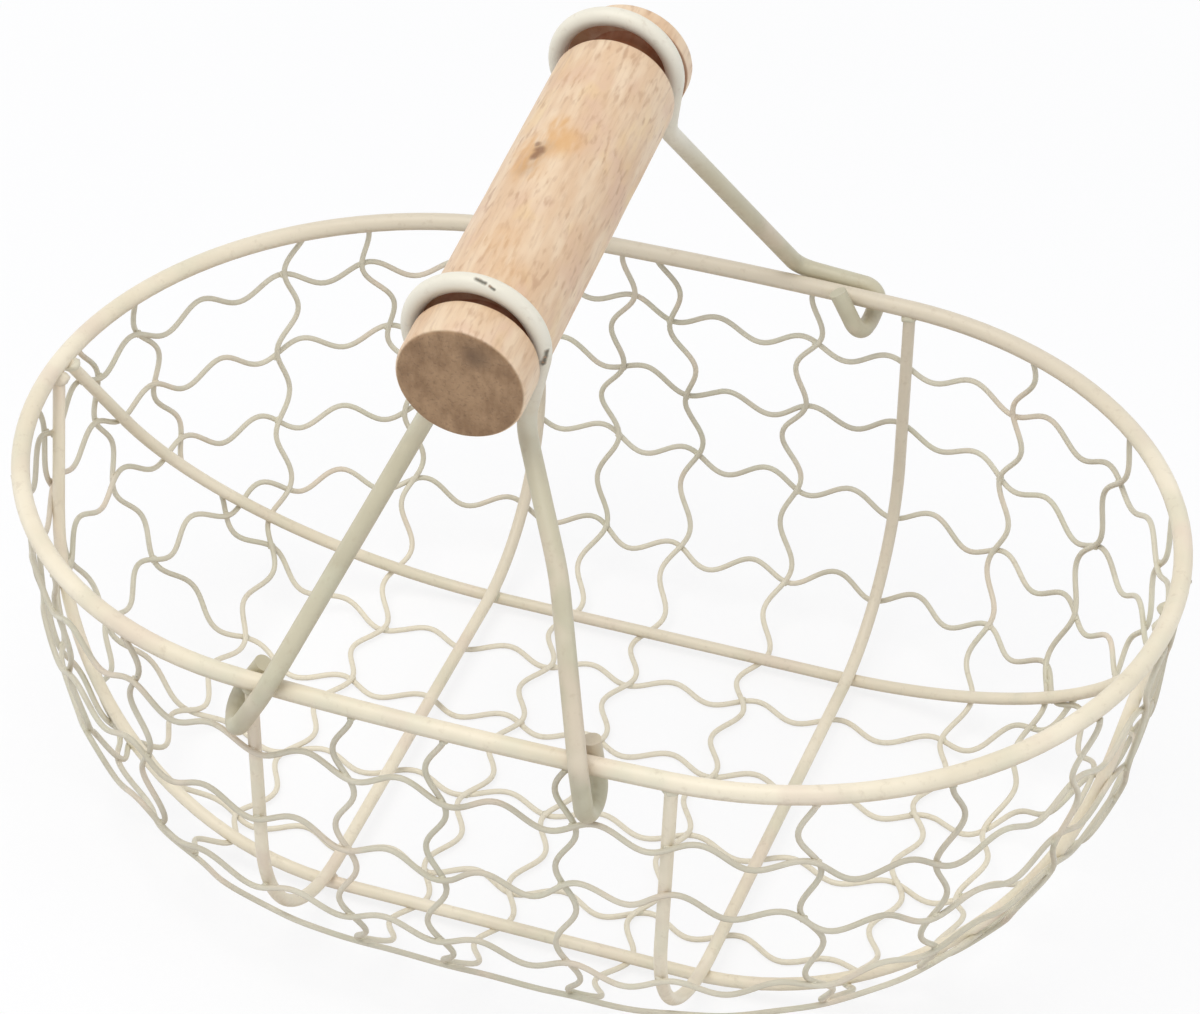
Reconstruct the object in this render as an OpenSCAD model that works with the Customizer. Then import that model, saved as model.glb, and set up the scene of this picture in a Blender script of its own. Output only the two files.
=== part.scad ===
// Oval wire egg basket: a round-wire frame inside a skin of waved mesh wire, a lift-up handle of
// two bent wire bails hooked on the rim, and a turned wooden grip that spins in the bails' rings.
// Millimetres, +Z up. The origin is on the table under the middle of the basket, X along its length.

/* [Rim] */
// Length of the rim, centre to centre of its wire
rim_length = 250; // [248:0.5:252]
// Width of the rim, centre to centre of its wire
rim_width = 169.5; // [168.5:0.5:170.5]
// Radius of the rim's two long, slightly bowed sides
side_r = 900; // [850:10:950]
// Height of the rim's wire above the table
rim_height = 87; // [86:0.5:88]
// Thickness of the rim's wire
rim_wire = 4; // [3.9:0.05:4.1]

/* [Frame] */
// Thickness of the wire of the ribs and the long wires
frame_wire = 2.8; // [2.7:0.05:2.9]
// Place along the basket of the left one of the two ribs that cross it
rib_left_x = -43.1; // [-43.6:0.5:-42.6]
// Place along the basket of the right rib
rib_right_x = 45.4; // [44.9:0.5:45.9]
// Radius of a rib's bottom corners
rib_corner_r = 38; // [37:0.5:39]
// Distance between the two long wires where they lie on the floor mesh
long_spread = 103; // [102:0.5:104]
// Distance between the two long wires where they meet the rim
long_gap = 4.4; // [4:0.2:5]
// Distance between the floor corners of a long wire, before they are rounded
long_floor = 215.5; // [214:0.5:217]
// Radius of a long wire's corners
long_corner_r = 80; // [79:0.5:81]

/* [Mesh] */
// Thickness of the mesh wire
mesh_wire = 1.3; // [1.2:0.05:1.35]
// Height of the waves, from a trough to a crest
wave_height = 4.4; // [4.2:0.2:4.8]
// How deep two crossing wires sink into each other at a weld
weld = 0.25; // [0.22:0.01:0.3]
// How far the mesh stands in from the rim's centre line at the top
rim_set = 1; // [0.9:0.05:1.1]
// Radius of the bottom corner of the mesh along the sides
mesh_corner_r = 38; // [37:0.5:39]
// Length of the flat part of the mesh floor
floor_length = 154; // [150:1:158]

/* [Handle] */
// Thickness of the bails' wire
bail_wire = 4; // [3.9:0.05:4.05]
// Height of the middle of the grip above the table
grip_height = 156; // [154:0.5:160]
// Sideways place of the middle of the grip
grip_x = -9; // [-10:0.5:-8]
// Turn of the grip in plan away from square to the basket
grip_turn = 1.9; // [1.5:0.1:2.3]
// Rise of the grip towards the back
grip_tilt = 3.6; // [3:0.1:4]
// Diameter of the grip
grip_d = 26.6; // [26.4:0.1:27]
// Depth of the grip's groove in front
front_groove_depth = 4.2; // [4.2:0.1:4.6]
// Depth of the grip's groove at the back
back_groove_depth = 4.6; // [4.6:0.1:5]
// Clear gap between a hooked eye and the rim wire inside it
eye_gap = 0.4; // [0.35:0.05:0.45]

/* [Hidden] */

// Mesh rings from the top down: height at the sides, height at the ends, number of waves, start of
// the wave in degrees. The rings are laid by hand, so each one also strays from its even height: up by
// so much at every 30 degrees round the basket, counter-clockwise from its right end
RINGS = [
    [68.4, 71.8, 33, 0, [-3, 0.5, 1, 1, 4.5, 4.5, 4, 4.5, 3, 2.5, 2.5, -5.5]],
    [52.8, 58.8, 33, 62, [-3, -6, -1.5, -4, 3, 0.5, 4, 1, 0, -3, 3.5, -6]],
    [31.3, 45.8, 32, 343, [-3, -4.5, -1.5, -0.5, 2, 0, 1.5, 0, 0, 0, 0, -2]],
    [14.3, 25.8, 30, 177, [0, 0.5, -0.5, -2, 0, 5, 2, 1.5, 1.5, 1.5, 1, 0.5]]
];
// Cross wires from left to right: places along the basket up the front wall, from the floor to the
// rim, and up the back wall, number of waves, start of the wave in degrees
CROSS_WIRES = [
    [[-91, -96], [-91, -97, -94.5], 11, 56],
    [[-68, -72], [-66, -72.5, -83], 13.4, 324],
    [[-23.5, -23], [-24.8, -26, -21], 14.6, 85],
    [[-4, -3], [-5, -5, -13.5], 14.4, 107],
    [[24.5, 24], [22, 18.4, 24.5], 14.4, 159],
    [[74, 71], [72, 71.2, 74.5], 13.2, 113],
    [[88.5, 97], [88.5, 93.5, 102.5], 11, 262]
];
// Floor wires from front to back: places across the basket up the left wall, from the floor to the
// rim, and up the right wall, number of waves, start of the wave in degrees
FLOOR_WIRES = [
    [[-37, -36], [-37, -36], 16.8, 28],
    [[-12, -12], [-9.5, -12], 16.2, 152],
    [[13.5, 12], [13.5, 12], 17.8, 69],
    [[36, 29], [38, 36], 17, 322]
];

// How far the front floor corners of the left and the right rib stand to the right of the rib's ends
rib_left_lean = 0.4;
rib_right_lean = -2.7;

// Each ring lies outside the wires of the side walls and inside those of the end walls; it changes
// over this distance from the basket's middle line
ring_swap_y = 46;
// Half the length over which a ring changes from outside to inside
ring_swap_half = 8;
// How steeply a ring's rise gathers towards the ends
ring_rise_power = 3.4;
// Points along one wave of the mesh wire
wave_points = 5;

// How far a straight stretch of bent wire laps into a bend, and how much thinner it is
bar_lap = 0.2;
bar_less = 0.04;

rim_a = rim_length / 2;
rim_b = rim_width / 2;
frame_r = frame_wire / 2;
// Half the side of the square section that has the round wire's area
mesh_half = mesh_wire * sqrt(PI) / 4;

// Distances outwards from the wall that holds the long wires' centre lines
inner_off = frame_r + mesh_half - weld;
outer_off = inner_off + 2 * mesh_half - weld;
// Floor height of that wall: the outer mesh layer rests on the table
floor_z = outer_off + mesh_half;
side_half = rim_b - rim_set;
wall_corner_r = mesh_corner_r - inner_off;
top_z = rim_height - rim_wire / 4;

cream = [0.93, 0.92, 0.84];
wood = [0.86, 0.7, 0.53];

// Vectors and frames
function unit(v) = v / norm(v);
function frame_at(o, x, y, z) = [
    [x[0], y[0], z[0], o[0]],
    [x[1], y[1], z[1], o[1]],
    [x[2], y[2], z[2], o[2]],
    [0, 0, 0, 1]
];
function across(z) = unit(cross(abs(z[2]) < 0.9 ? [0, 0, 1] : [1, 0, 0], z));
function soft_step(t) = let (u = max(0, min(1, t))) u * u * (3 - 2 * u);

// A round bar between two points. It laps a little way into the bends at its ends and is a hair
// thinner than they are, so that no two curved surfaces of one wire run into each other
module bar(a, b, d) {
    z = unit(b - a);
    x = across(z);
    multmatrix(frame_at(a - z * bar_lap, x, cross(z, x), z))
        cylinder(d = d - bar_less, h = norm(b - a) + 2 * bar_lap, $fn = 32);
}

// Length of straight wire that a bend of radius r takes on each side of corner p
function bend_cut(a, p, b, r) = r * tan(90 - acos(unit(a - p) * unit(b - p)) / 2);

// The bend at corner p of the path a, p, b
module bend(a, p, b, r, d) {
    u = unit(a - p);
    v = unit(b - p);
    turn = 180 - acos(u * v);
    o = p + unit(u + v) * r / cos(turn / 2);
    x = unit(p + u * r * tan(turn / 2) - o);
    multmatrix(frame_at(o, x, -u, cross(x, -u)))
        rotate_extrude(angle = turn, $fn = 96) translate([r, 0]) circle(d = d, $fn = 32);
}

// A wire of diameter d bent round the corners of path, with one radius for each inner corner
module bent_wire(path, radii, d) {
    last = len(path) - 1;
    cuts = [for (i = [0:last])
        i == 0 || i == last ? 0 : bend_cut(path[i - 1], path[i], path[i + 1], radii[i - 1])];
    for (i = [0:last - 1]) {
        way = unit(path[i + 1] - path[i]);
        from = path[i] + way * cuts[i];
        to = path[i + 1] - way * cuts[i + 1];
        bar(from, to, d);
        if (i > 0) bend(path[i - 1], path[i], path[i + 1], radii[i - 1], d);
    }
}

// How far a bowed side of radius side_r stands in at distance x from its middle
function bow(x) = side_r - sqrt(side_r * side_r - x * x);

// Centre and radius of the end arc that runs on from a side of half width b and passes (x, y)
function end_arc(b, x, y) =
    let (c2 = side_r - b, s = side_r * side_r, g = s - c2 * c2 + x * x + y * y)
    let (qa = s - x * x, qb = x * (g - 2 * s), qc = s * (x * x + y * y) - g * g / 4)
    let (c = (-qb - sqrt(qb * qb - 4 * qa * qc)) / (2 * qa))
    [c, norm([x - c, y])];

// An oval is [half width, end arc centre, end arc radius]
function oval_through(b, x, y) = let (e = end_arc(b, x, y)) [b, e[0], e[1]];
function oval_swap_angle(o) = atan2(side_r - o[0], o[1]);
function side_sign(v) = v < 0 ? -1 : 1;

// Point of an oval where its outward normal makes angle t with X
function oval_point(o, t) =
    let (c = abs(cos(t)), s = abs(sin(t)), end = atan2(s, c) < oval_swap_angle(o))
    [side_sign(cos(t)) * (end ? o[1] + o[2] * c : side_r * c),
     side_sign(sin(t)) * (end ? o[2] * s : side_r * s - (side_r - o[0]))];
function oval_y(o, x) =
    let (ax = abs(x), swap = side_r * cos(oval_swap_angle(o)))
    ax < swap ? o[0] - bow(ax) : sqrt(max(0, o[2] * o[2] - (ax - o[1]) * (ax - o[1])));
function oval_x(o, y) = o[1] + sqrt(max(0, o[2] * o[2] - y * y));

// Long wire: the leg's lean in the wire's own tilted plane, and places along it
long_top = [rim_a - rim_set, long_gap / 2, top_z];
long_foot = [long_floor / 2, long_spread / 2, floor_z];
long_rise = norm([long_foot[1] - long_top[1], top_z - floor_z]);
long_lean = atan2(long_top[0] - long_foot[0], long_rise);
long_cut = long_corner_r * tan((90 - long_lean) / 2);
function long_x(v) = v < long_cut * cos(long_lean)
    ? long_foot[0] - long_cut + sqrt(long_corner_r * long_corner_r - pow(long_corner_r - v, 2))
    : long_foot[0] + v * tan(long_lean);
function long_point(z) =
    let (v = (z - floor_z) / (top_z - floor_z))
    [long_x(v * long_rise), long_foot[1] + v * (long_top[1] - long_foot[1])];

// The wall through the long wires: half width at height z, and the oval there
join_z = floor_z + 5.5;
join_a = let (p = long_point(join_z), o = oval_through(wall_half(join_z), p[0], p[1])) o[1] + o[2];
floor_a = floor_length / 2;
floor_arc_r = (pow(join_a - floor_a, 2) + pow(join_z - floor_z, 2)) / (2 * (join_z - floor_z));
function wall_half(z) =
    let (up = wall_corner_r - min(z - floor_z, wall_corner_r))
    side_half - wall_corner_r + sqrt(wall_corner_r * wall_corner_r - up * up);
function floor_end(z) =
    floor_a + sqrt(floor_arc_r * floor_arc_r - pow(floor_arc_r - (z - floor_z), 2));
function wall_oval(z) = z < join_z
    ? oval_through(wall_half(z), floor_end(z), 0)
    : let (p = long_point(z)) oval_through(wall_half(z), p[0], p[1]);

// How far point p stands outside the wall's oval of height z
function outside(p, z) =
    let (o = wall_oval(z), x = abs(p[0]), y = abs(p[1]), c2 = side_r - o[0])
    x * c2 < o[1] * (y + c2) ? norm([x, y + c2]) - side_r : norm([x - o[1], y]) - o[2];

// Outward normal of the wall at point p of it
function wall_normal(p) =
    let (o = wall_oval(p[2]), x = abs(p[0]), y = abs(p[1]), c2 = side_r - o[0])
    let (side = x * c2 < o[1] * (y + c2), flat = outside(p, floor_z) < 0.05)
    let (n = side ? unit([x, y + c2]) : unit([x - o[1], y]))
    let (high = p[2] + 0.2, low = max(floor_z, p[2] - 0.2))
    flat ? [0, 0, -1]
         : unit([side_sign(p[0]) * n[0], side_sign(p[1]) * n[1], (outside(p, high) - outside(p, low)) / (high - low)]);

// Paths on the wall, as many points. A wire's places are spread evenly over the height it climbs
steps = 60;
function climb(k) = pow(k / steps, 2);
function place_at(places, share) =
    lookup(share, [for (i = [0:len(places) - 1]) [i / (len(places) - 1), places[i]]]);
function cross_low(x) = x < floor_a ? floor_z
    : lookup(x, [for (z = [floor_z:0.5:40]) [oval_x(wall_oval(z), 0), z]]);
function cross_half(places, way) =
    let (low = cross_low(abs(places[0])))
    [for (k = [0:steps])
        let (z = low + (top_z - low) * climb(k), x = place_at(places, climb(k)))
        [x, way * oval_y(wall_oval(z), x), z]];
function floor_half(places, way) =
    [for (k = [0:steps])
        let (z = floor_z + (top_z - floor_z) * climb(k), y = place_at(places, climb(k)))
        [way * oval_x(wall_oval(z), y), y, z]];
function backwards(path) = [for (i = [len(path) - 1:-1:0]) path[i]];
function cross_path(front, back) = concat(backwards(cross_half(front, -1)), cross_half(back, 1));
function floor_path(left, right) = concat(backwards(floor_half(left, -1)), floor_half(right, 1));
function stray_at(strays, angle) =
    let (place = (angle + 360) % 360 / 30, i = floor(place))
    let (from = strays[i], to = strays[(i + 1) % len(strays)])
    from + (to - from) * soft_step(place - i);
function ring_height(ring, t) =
    let (o = wall_oval((ring[0] + ring[1]) / 2), p = oval_point(o, t), share = abs(p[0]) / (o[1] + o[2]))
    ring[0] + (ring[1] - ring[0]) * pow(share, ring_rise_power) + stray_at(ring[4], atan2(p[1], p[0]));
function ring_path(ring) =
    [for (t = [0:1:360]) let (z = ring_height(ring, t), p = oval_point(wall_oval(z), t)) [p[0], p[1], z]];

// Running length along a path, and the path cut into n equal steps
function running(path) =
    [for (i = 0, s = 0; i < len(path); i = i + 1, s = s + (i < len(path) ? norm(path[i] - path[i - 1]) : 0)) s];
function even_path(path, n) =
    let (s = running(path), total = s[len(s) - 1])
    let (tables = [for (axis = [0:2]) [for (i = [0:len(path) - 1]) [s[i], path[i][axis]]]])
    [for (k = [0:n]) [for (axis = [0:2]) lookup(total * k / n, tables[axis])]];

// Square section swept along points, with the section's flats along and across the normals
module sweep(points, normals, closed) {
    n = len(points);
    at = function (i) closed ? (i + n) % n : max(0, min(n - 1, i));
    corners = [for (i = [0:n - 1])
        let (before = unit(points[i] - points[at(i - 1)] + (i == 0 && !closed ? points[1] - points[0] : [0, 0, 0])))
        let (after = unit(points[at(i + 1)] - points[i] + (i == n - 1 && !closed ? points[n - 1] - points[n - 2] : [0, 0, 0])))
        let (along = unit(before + after), wide = unit(cross(normals[i], along)))
        let (up = cross(along, wide) * mesh_half, out = wide * mesh_half / (along * after))
        each [points[i] + up + out, points[i] + up - out, points[i] - up - out, points[i] - up + out]];
    spans = closed ? n : n - 1;
    walls = [for (i = [0:spans - 1], k = [0:3])
        let (a = 4 * i + k, b = 4 * i + (k + 1) % 4, c = 4 * at(i + 1) + k, d = 4 * at(i + 1) + (k + 1) % 4)
        each [[a, d, b], [a, c, d]]];
    e = 4 * (n - 1);
    caps = closed ? [] : [[0, 1, 2], [0, 2, 3], [e, e + 2, e + 1], [e, e + 3, e + 2]];
    polyhedron(corners, concat(walls, caps));
}

// A mesh wire: even waves laid in the wall along a path, at distance off(p) out of the wall
module mesh_wire_along(path, off, waves, start, closed) {
    n = round(wave_points * waves);
    base = even_path(path, n);
    count = closed ? n : n + 1;
    normals = [for (i = [0:count - 1]) wall_normal(base[i])];
    points = [for (i = [0:count - 1])
        let (ahead = base[min(i + 1, n)], behind = base[max(i - 1, 0)])
        let (sideways = unit(cross(normals[i], ahead - behind)))
        base[i] + normals[i] * off(base[i]) + sideways * wave_height / 2 * sin(360 * waves * i / n + start)];
    sweep(points, normals, closed);
}

// The rim: four arcs that run on from one another, the long sides a hair thinner than the ends
module rim() {
    o = oval_through(rim_b, rim_a, 0);
    swap = oval_swap_angle(o);
    lap = bar_lap / side_r * 180 / PI;
    color(cream) translate([0, 0, rim_height]) {
        for (way = [0, 180]) {
            rotate([0, 0, way]) translate([o[1], 0, 0]) rotate([0, 0, -swap])
                rotate_extrude(angle = 2 * swap, $fn = 120) translate([o[2], 0]) circle(d = rim_wire, $fn = 32);
            rotate([0, 0, way]) translate([0, rim_b - side_r, 0]) rotate([0, 0, swap - lap])
                rotate_extrude(angle = 180 - 2 * swap + 2 * lap, $fn = 1440)
                    translate([side_r, 0]) circle(d = rim_wire - bar_less, $fn = 32);
        }
    }
}

// A rib: down one side wall, across the floor on top of the long wires, and up the other side
module rib(x, lean) {
    half = function (x) side_half - bow(x) + outer_off - mesh_half + weld - frame_r;
    // It bears on the long wires where its corners have already begun to rise
    seat = max(0, long_spread / 2 - (half(x) - rib_corner_r));
    low = floor_z + frame_wire - weld - (rib_corner_r - sqrt(rib_corner_r * rib_corner_r - seat * seat));
    color(cream) bent_wire([
        [x, half(x), top_z], [x, half(x), low], [x + lean, -half(x + lean), low], [x, -half(x), top_z]
    ], [rib_corner_r, rib_corner_r], frame_wire);
}

// A long wire: from one end of the rim, fanning out to the floor and back up to the other end
module long_wire(way) {
    turned = function (p, side) [side * p[0], way * p[1], p[2]];
    color(cream) bent_wire([
        turned(long_top, 1), turned(long_foot, 1), turned(long_foot, -1), turned(long_top, -1)
    ], [long_corner_r, long_corner_r], frame_wire);
}

module mesh_ring(i) {
    ring = RINGS[i];
    off = function (p)
        inner_off + (outer_off - inner_off) * soft_step((abs(p[1]) - ring_swap_y) / (2 * ring_swap_half) + 0.5);
    color(cream) mesh_wire_along(ring_path(ring), off, ring[2], ring[3], true);
}

module cross_wire(i) {
    off = function (p) inner_off;
    wire = CROSS_WIRES[i];
    color(cream) mesh_wire_along(cross_path(wire[0], wire[1]), off, wire[2], wire[3], false);
}

module floor_wire(i) {
    off = function (p) outer_off;
    wire = FLOOR_WIRES[i];
    color(cream) mesh_wire_along(floor_path(wire[0], wire[1]), off, wire[2], wire[3], false);
}

// The grip's axis: its middle, and its directions along, to the right and up
grip_mid = [grip_x, 0, grip_height];
grip_along = [-sin(grip_turn) * cos(grip_tilt), cos(grip_turn) * cos(grip_tilt), sin(grip_tilt)];
grip_right = unit(cross(grip_along, [0, 0, 1]));
grip_up = cross(grip_right, grip_along);

// Places along the grip from its middle: end faces and groove walls
grip_front = -59.2;
grip_back = 53.6;
front_groove = [-49.9, -44.6];
back_groove = [39.8, 49.2];
edge_round = 1.2;

// Rings of the bails: place along the grip, radius, and how far the ring's middle lies to the right
// of the grip's axis and above it, because the grip has settled to the bottom of the rings
front_ring = [-46.9, 13.4, -0.7, 1.9];
back_ring = [46, 12.9, -1.4, 1.7];

// Point at distances along, to the right and up from the middle of the grip
function grip_at(s, right, up) = grip_mid + grip_along * s + grip_right * right + grip_up * up;

// Rounded corner of the grip's outline: centre, start angle
function corner(x, y, from) =
    [for (t = [0:15:90]) [x + edge_round * cos(from + t), y + edge_round * sin(from + t)]];

module grip() {
    r = grip_d / 2;
    groove = function (ends, depth)
        [[r, ends[0]], [r - depth, ends[0]], [r - depth, ends[1]], [r, ends[1]]];
    outline = concat(
        [[0, grip_front]], corner(r - edge_round, grip_front + edge_round, -90),
        groove(front_groove, front_groove_depth), groove(back_groove, back_groove_depth),
        corner(r - edge_round, grip_back - edge_round, 0), [[0, grip_back]]
    );
    color(wood) multmatrix(frame_at(grip_mid, grip_right, -grip_up, grip_along))
        rotate_extrude($fn = 96) polygon(outline);
}

neck_r = 7;
turn_r = 12;
foot_turn_r = 3.4;
eye_r = (rim_wire + bail_wire) / 2 + eye_gap;
eye_bend_r = eye_r - 0.4;

// One leg of a bail from its ring: side is 1 to the right and -1 to the left, way is -1 in front and
// 1 behind. The ring runs on by wrap degrees below its middle and the wire then runs straight by run.
// Each bend between that neck and the rim is [x, y, z, radius]. The eye is [its places along the basket
// at the turn, at the outer and the inner bottom corner and at the end, height of the turn over the
// rim's centre, depth of the outer and of the inner corner under it, height of the end]
module bail_leg(ring, side, way, wrap, run, bends, eye) {
    point = function (out, down) grip_at(ring[0], ring[2] + side * out, ring[3] - down);
    start = point(ring[1] * cos(wrap), ring[1] * sin(wrap));
    neck = point(ring[1] * cos(wrap) - run * sin(wrap), ring[1] * sin(wrap) + run * cos(wrap));
    y_rim = rim_b - bow(eye[0]);
    outer = way * (y_rim + eye_r);
    inner = way * (y_rim - eye_r);
    path = concat(
        [start, neck], [for (b = bends) [b[0], b[1], b[2]]],
        [[eye[0], outer, rim_height + eye[4]], [eye[1], outer, rim_height - eye[5]],
         [eye[2], inner, rim_height - eye[6]], [eye[3], inner, rim_height + eye[7]]]
    );
    foot_r = len(bends) > 0 ? foot_turn_r : turn_r;
    bent_wire(path, concat([neck_r], [for (b = bends) b[3]], [foot_r, eye_bend_r, eye_bend_r]), bail_wire);
}

// The ring of a bail, open underneath; it runs on below its middle by the two angles right and left
module bail_ring(ring, right, left) {
    multmatrix(frame_at(grip_at(ring[0], ring[2], ring[3]), grip_right, grip_up, -grip_along))
        rotate([0, 0, -right]) rotate_extrude(angle = 180 + right + left, $fn = 96)
            translate([ring[1], 0]) circle(d = bail_wire, $fn = 32);
}

module bail_front() {
    color(cream) {
        bail_ring(front_ring, 13, 13);
        bail_leg(front_ring, 1, -1, 13, 16.3, [[15.6, -65.4, 116.5, 60]], [28, 29.5, 29.5, 27.6, 2, 11, 11, 2.5]);
        bail_leg(front_ring, -1, -1, 13, 16.3, [], [-38.2, -45.2, -48.5, -42, 2, 10.5, 9.5, 1.5]);
    }
}

module bail_back() {
    color(cream) {
        bail_ring(back_ring, 8, 20);
        bail_leg(back_ring, 1, 1, 8, 12, [[17.5, 89.1, 88.5, 5]], [36.8, 36, 35, 29.6, 0.5, 7.1, 7.1, 3.3]);
        bail_leg(back_ring, -1, 1, 20, 12, [], [-36, -36, -36, -36, 2, 7.1, 7.1, 2]);
    }
}

rim();
rib(rib_left_x, rib_left_lean);  // rib_left
rib(rib_right_x, rib_right_lean);  // rib_right
long_wire(-1);  // long_wire_front
long_wire(1);  // long_wire_back
mesh_ring(0);  // mesh_ring_top
mesh_ring(1);  // mesh_ring_upper
mesh_ring(2);  // mesh_ring_lower
mesh_ring(3);  // mesh_ring_bottom
cross_wire(0);  // cross_wire_1
cross_wire(1);  // cross_wire_2
cross_wire(2);  // cross_wire_3
cross_wire(3);  // cross_wire_4
cross_wire(4);  // cross_wire_5
cross_wire(5);  // cross_wire_6
cross_wire(6);  // cross_wire_7
floor_wire(0);  // floor_wire_1
floor_wire(1);  // floor_wire_2
floor_wire(2);  // floor_wire_3
floor_wire(3);  // floor_wire_4
bail_front();
bail_back();
grip();
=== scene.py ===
import math

import bmesh
import bpy
from mathutils import Matrix, Vector, kdtree, noise


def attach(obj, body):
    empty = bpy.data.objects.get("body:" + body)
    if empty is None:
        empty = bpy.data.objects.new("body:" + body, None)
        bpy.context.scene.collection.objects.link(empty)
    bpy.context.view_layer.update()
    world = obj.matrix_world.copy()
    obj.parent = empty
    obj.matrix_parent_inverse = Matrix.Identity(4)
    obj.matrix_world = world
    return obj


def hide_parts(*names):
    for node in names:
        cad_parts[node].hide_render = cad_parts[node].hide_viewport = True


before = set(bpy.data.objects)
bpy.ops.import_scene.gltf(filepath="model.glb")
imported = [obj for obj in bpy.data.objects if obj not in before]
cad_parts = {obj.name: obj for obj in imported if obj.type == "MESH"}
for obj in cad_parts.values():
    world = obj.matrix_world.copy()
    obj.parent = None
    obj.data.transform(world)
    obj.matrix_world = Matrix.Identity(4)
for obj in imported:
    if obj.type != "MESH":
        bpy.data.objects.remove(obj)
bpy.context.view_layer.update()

print("frame loaded:", len(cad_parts), "CAD nodes")


# Shader maths as Python expressions: a Link is one output of a node
class Link:
    def __init__(self, graph, socket):
        self.graph = graph
        self.socket = socket

    def __add__(self, other):
        return self.graph.maths("ADD", self, other)

    def __sub__(self, other):
        return self.graph.maths("SUBTRACT", self, other)

    def __rsub__(self, other):
        return self.graph.maths("SUBTRACT", other, self)

    def __mul__(self, other):
        return self.graph.maths("MULTIPLY", self, other)

    def __truediv__(self, other):
        return self.graph.maths("DIVIDE", self, other)

    def __rtruediv__(self, other):
        return self.graph.maths("DIVIDE", other, self)

    def __pow__(self, other):
        return self.graph.maths("POWER", self, other)

    __radd__ = __add__
    __rmul__ = __mul__


class Graph:
    def __init__(self, owner):
        self.owner = owner
        self.owner.use_nodes = True
        self.tree = self.owner.node_tree
        self.tree.nodes.clear()

    # Any node: its type, its settings, then the values or links of its sockets
    def node(self, kind, settings=None, sockets=None, out=0):
        made = self.tree.nodes.new("ShaderNode" + kind)
        for name, value in (settings or {}).items():
            if name == "stops":
                ramp = made.color_ramp
                while len(ramp.elements) < len(value):
                    ramp.elements.new(0.5)
                for element, (place, colour) in zip(ramp.elements, value):
                    element.position = place
                    element.color = colour
            else:
                setattr(made, name, value)
        for name, value in (sockets or {}).items():
            if isinstance(value, Link):
                self.tree.links.new(value.socket, made.inputs[name])
            else:
                made.inputs[name].default_value = value
        return Link(self, made.outputs[out]) if made.outputs else None

    def maths(self, operation, *values):
        return self.node("Math", {"operation": operation}, dict(enumerate(values)))

    # 0 below one edge and 1 above the other, or the reverse where low is above high
    def between(self, value, low, high):
        return self.node("MapRange", {"interpolation_type": "SMOOTHSTEP"},
                         {"Value": value, "From Min": low, "From Max": high})

    def mix(self, share, first, second):
        return self.node("Mix", {"data_type": "RGBA"}, {0: share, 6: first, 7: second}, out=2)

    def noise(self, place, scale, detail=3.0, roughness=0.5):
        return self.node("TexNoise", None, {"Vector": place, "Scale": scale, "Detail": detail,
                                            "Roughness": roughness})

    def place(self, stretch=(1, 1, 1)):
        here = self.node("TexCoord", None, None, out=3)
        return self.node("Mapping", None, {"Vector": here, "Scale": stretch})

    # 1 at a spot and 0 beyond its reach
    def spot(self, place, centre, reach, edge=0.4):
        away = self.node("VectorMath", {"operation": "DISTANCE"}, {0: place, 1: centre}, out=1)
        return self.between(away, reach, reach * edge)

    # 1 on the line from start to end and 0 beyond its reach; ragged moves its edge in and out
    def streak(self, place, start, end, reach, ragged):
        span = Vector(end) - Vector(start)
        away = self.node("VectorMath", {"operation": "SUBTRACT"}, {0: place, 1: start})
        along = self.node("VectorMath", {"operation": "DOT_PRODUCT"}, {0: away, 1: span}, out=1)
        share = self.node("Clamp", None, {"Value": along / span.length_squared})
        near = self.node("VectorMath", {"operation": "SCALE"}, {0: span, 3: share})
        apart = self.node("VectorMath", {"operation": "DISTANCE"}, {0: away, 1: near}, out=1)
        return self.between(apart + (ragged - 0.5) * reach * 0.8, reach, reach * 0.1)

    # 1 where a ray is seen, straight or in a mirror or through glass, and 0 where it only gives light
    def seen(self):
        camera = self.node("LightPath")
        glossy = self.node("LightPath", None, None, out=3)
        transmitted = self.node("LightPath", None, None, out=6)
        return self.maths("MAXIMUM", camera, self.maths("MAXIMUM", glossy, transmitted))

    def finish(self, shader, output="OutputMaterial"):
        self.node(output, None, {"Surface": shader})
        return self.owner


def rgb(red, green, blue):  # a colour as it is seen, in 0 to 255
    def linear(value):
        value /= 255
        return value / 12.92 if value <= 0.04045 else ((value + 0.055) / 1.055) ** 2.4
    return (linear(red), linear(green), linear(blue), 1.0)


# Cream enamel, brushed thin over steel wire
enamelLook = {
    "cloudScale": 38.0,       # size of the slow changes of tone, per metre
    "peelScale": 900.0,       # size of the fine orange peel
    "peelDepth": 0.00006,
    "roughness": 0.38,
    "chipScale": 260.0,
    "olive": rgb(214, 213, 188),
    "rose": rgb(226, 208, 188),
    # brown of the speckles, and of the painted shade on the wires' undersides
    "grimeAndUnderShade": rgb(162, 138, 106),
    "ringPaintedHighlight": ("Z", 0.128, 0.150, rgb(229, 224, 207)),   # painted highlight: the bails' rings are painted paler than their legs
    "floorPaintedLight": ("Z", 0.016, 0.004, rgb(229, 221, 199)),  # painted light: the mesh on the floor is painted creamier than the walls', as if lit more from above
    "backFade": ("Y", 0.030, 0.085, rgb(216, 205, 183)),   # the frame is darker towards the back
    "steel": rgb(84, 80, 66),
    "rust": rgb(150, 112, 80),
}


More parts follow.
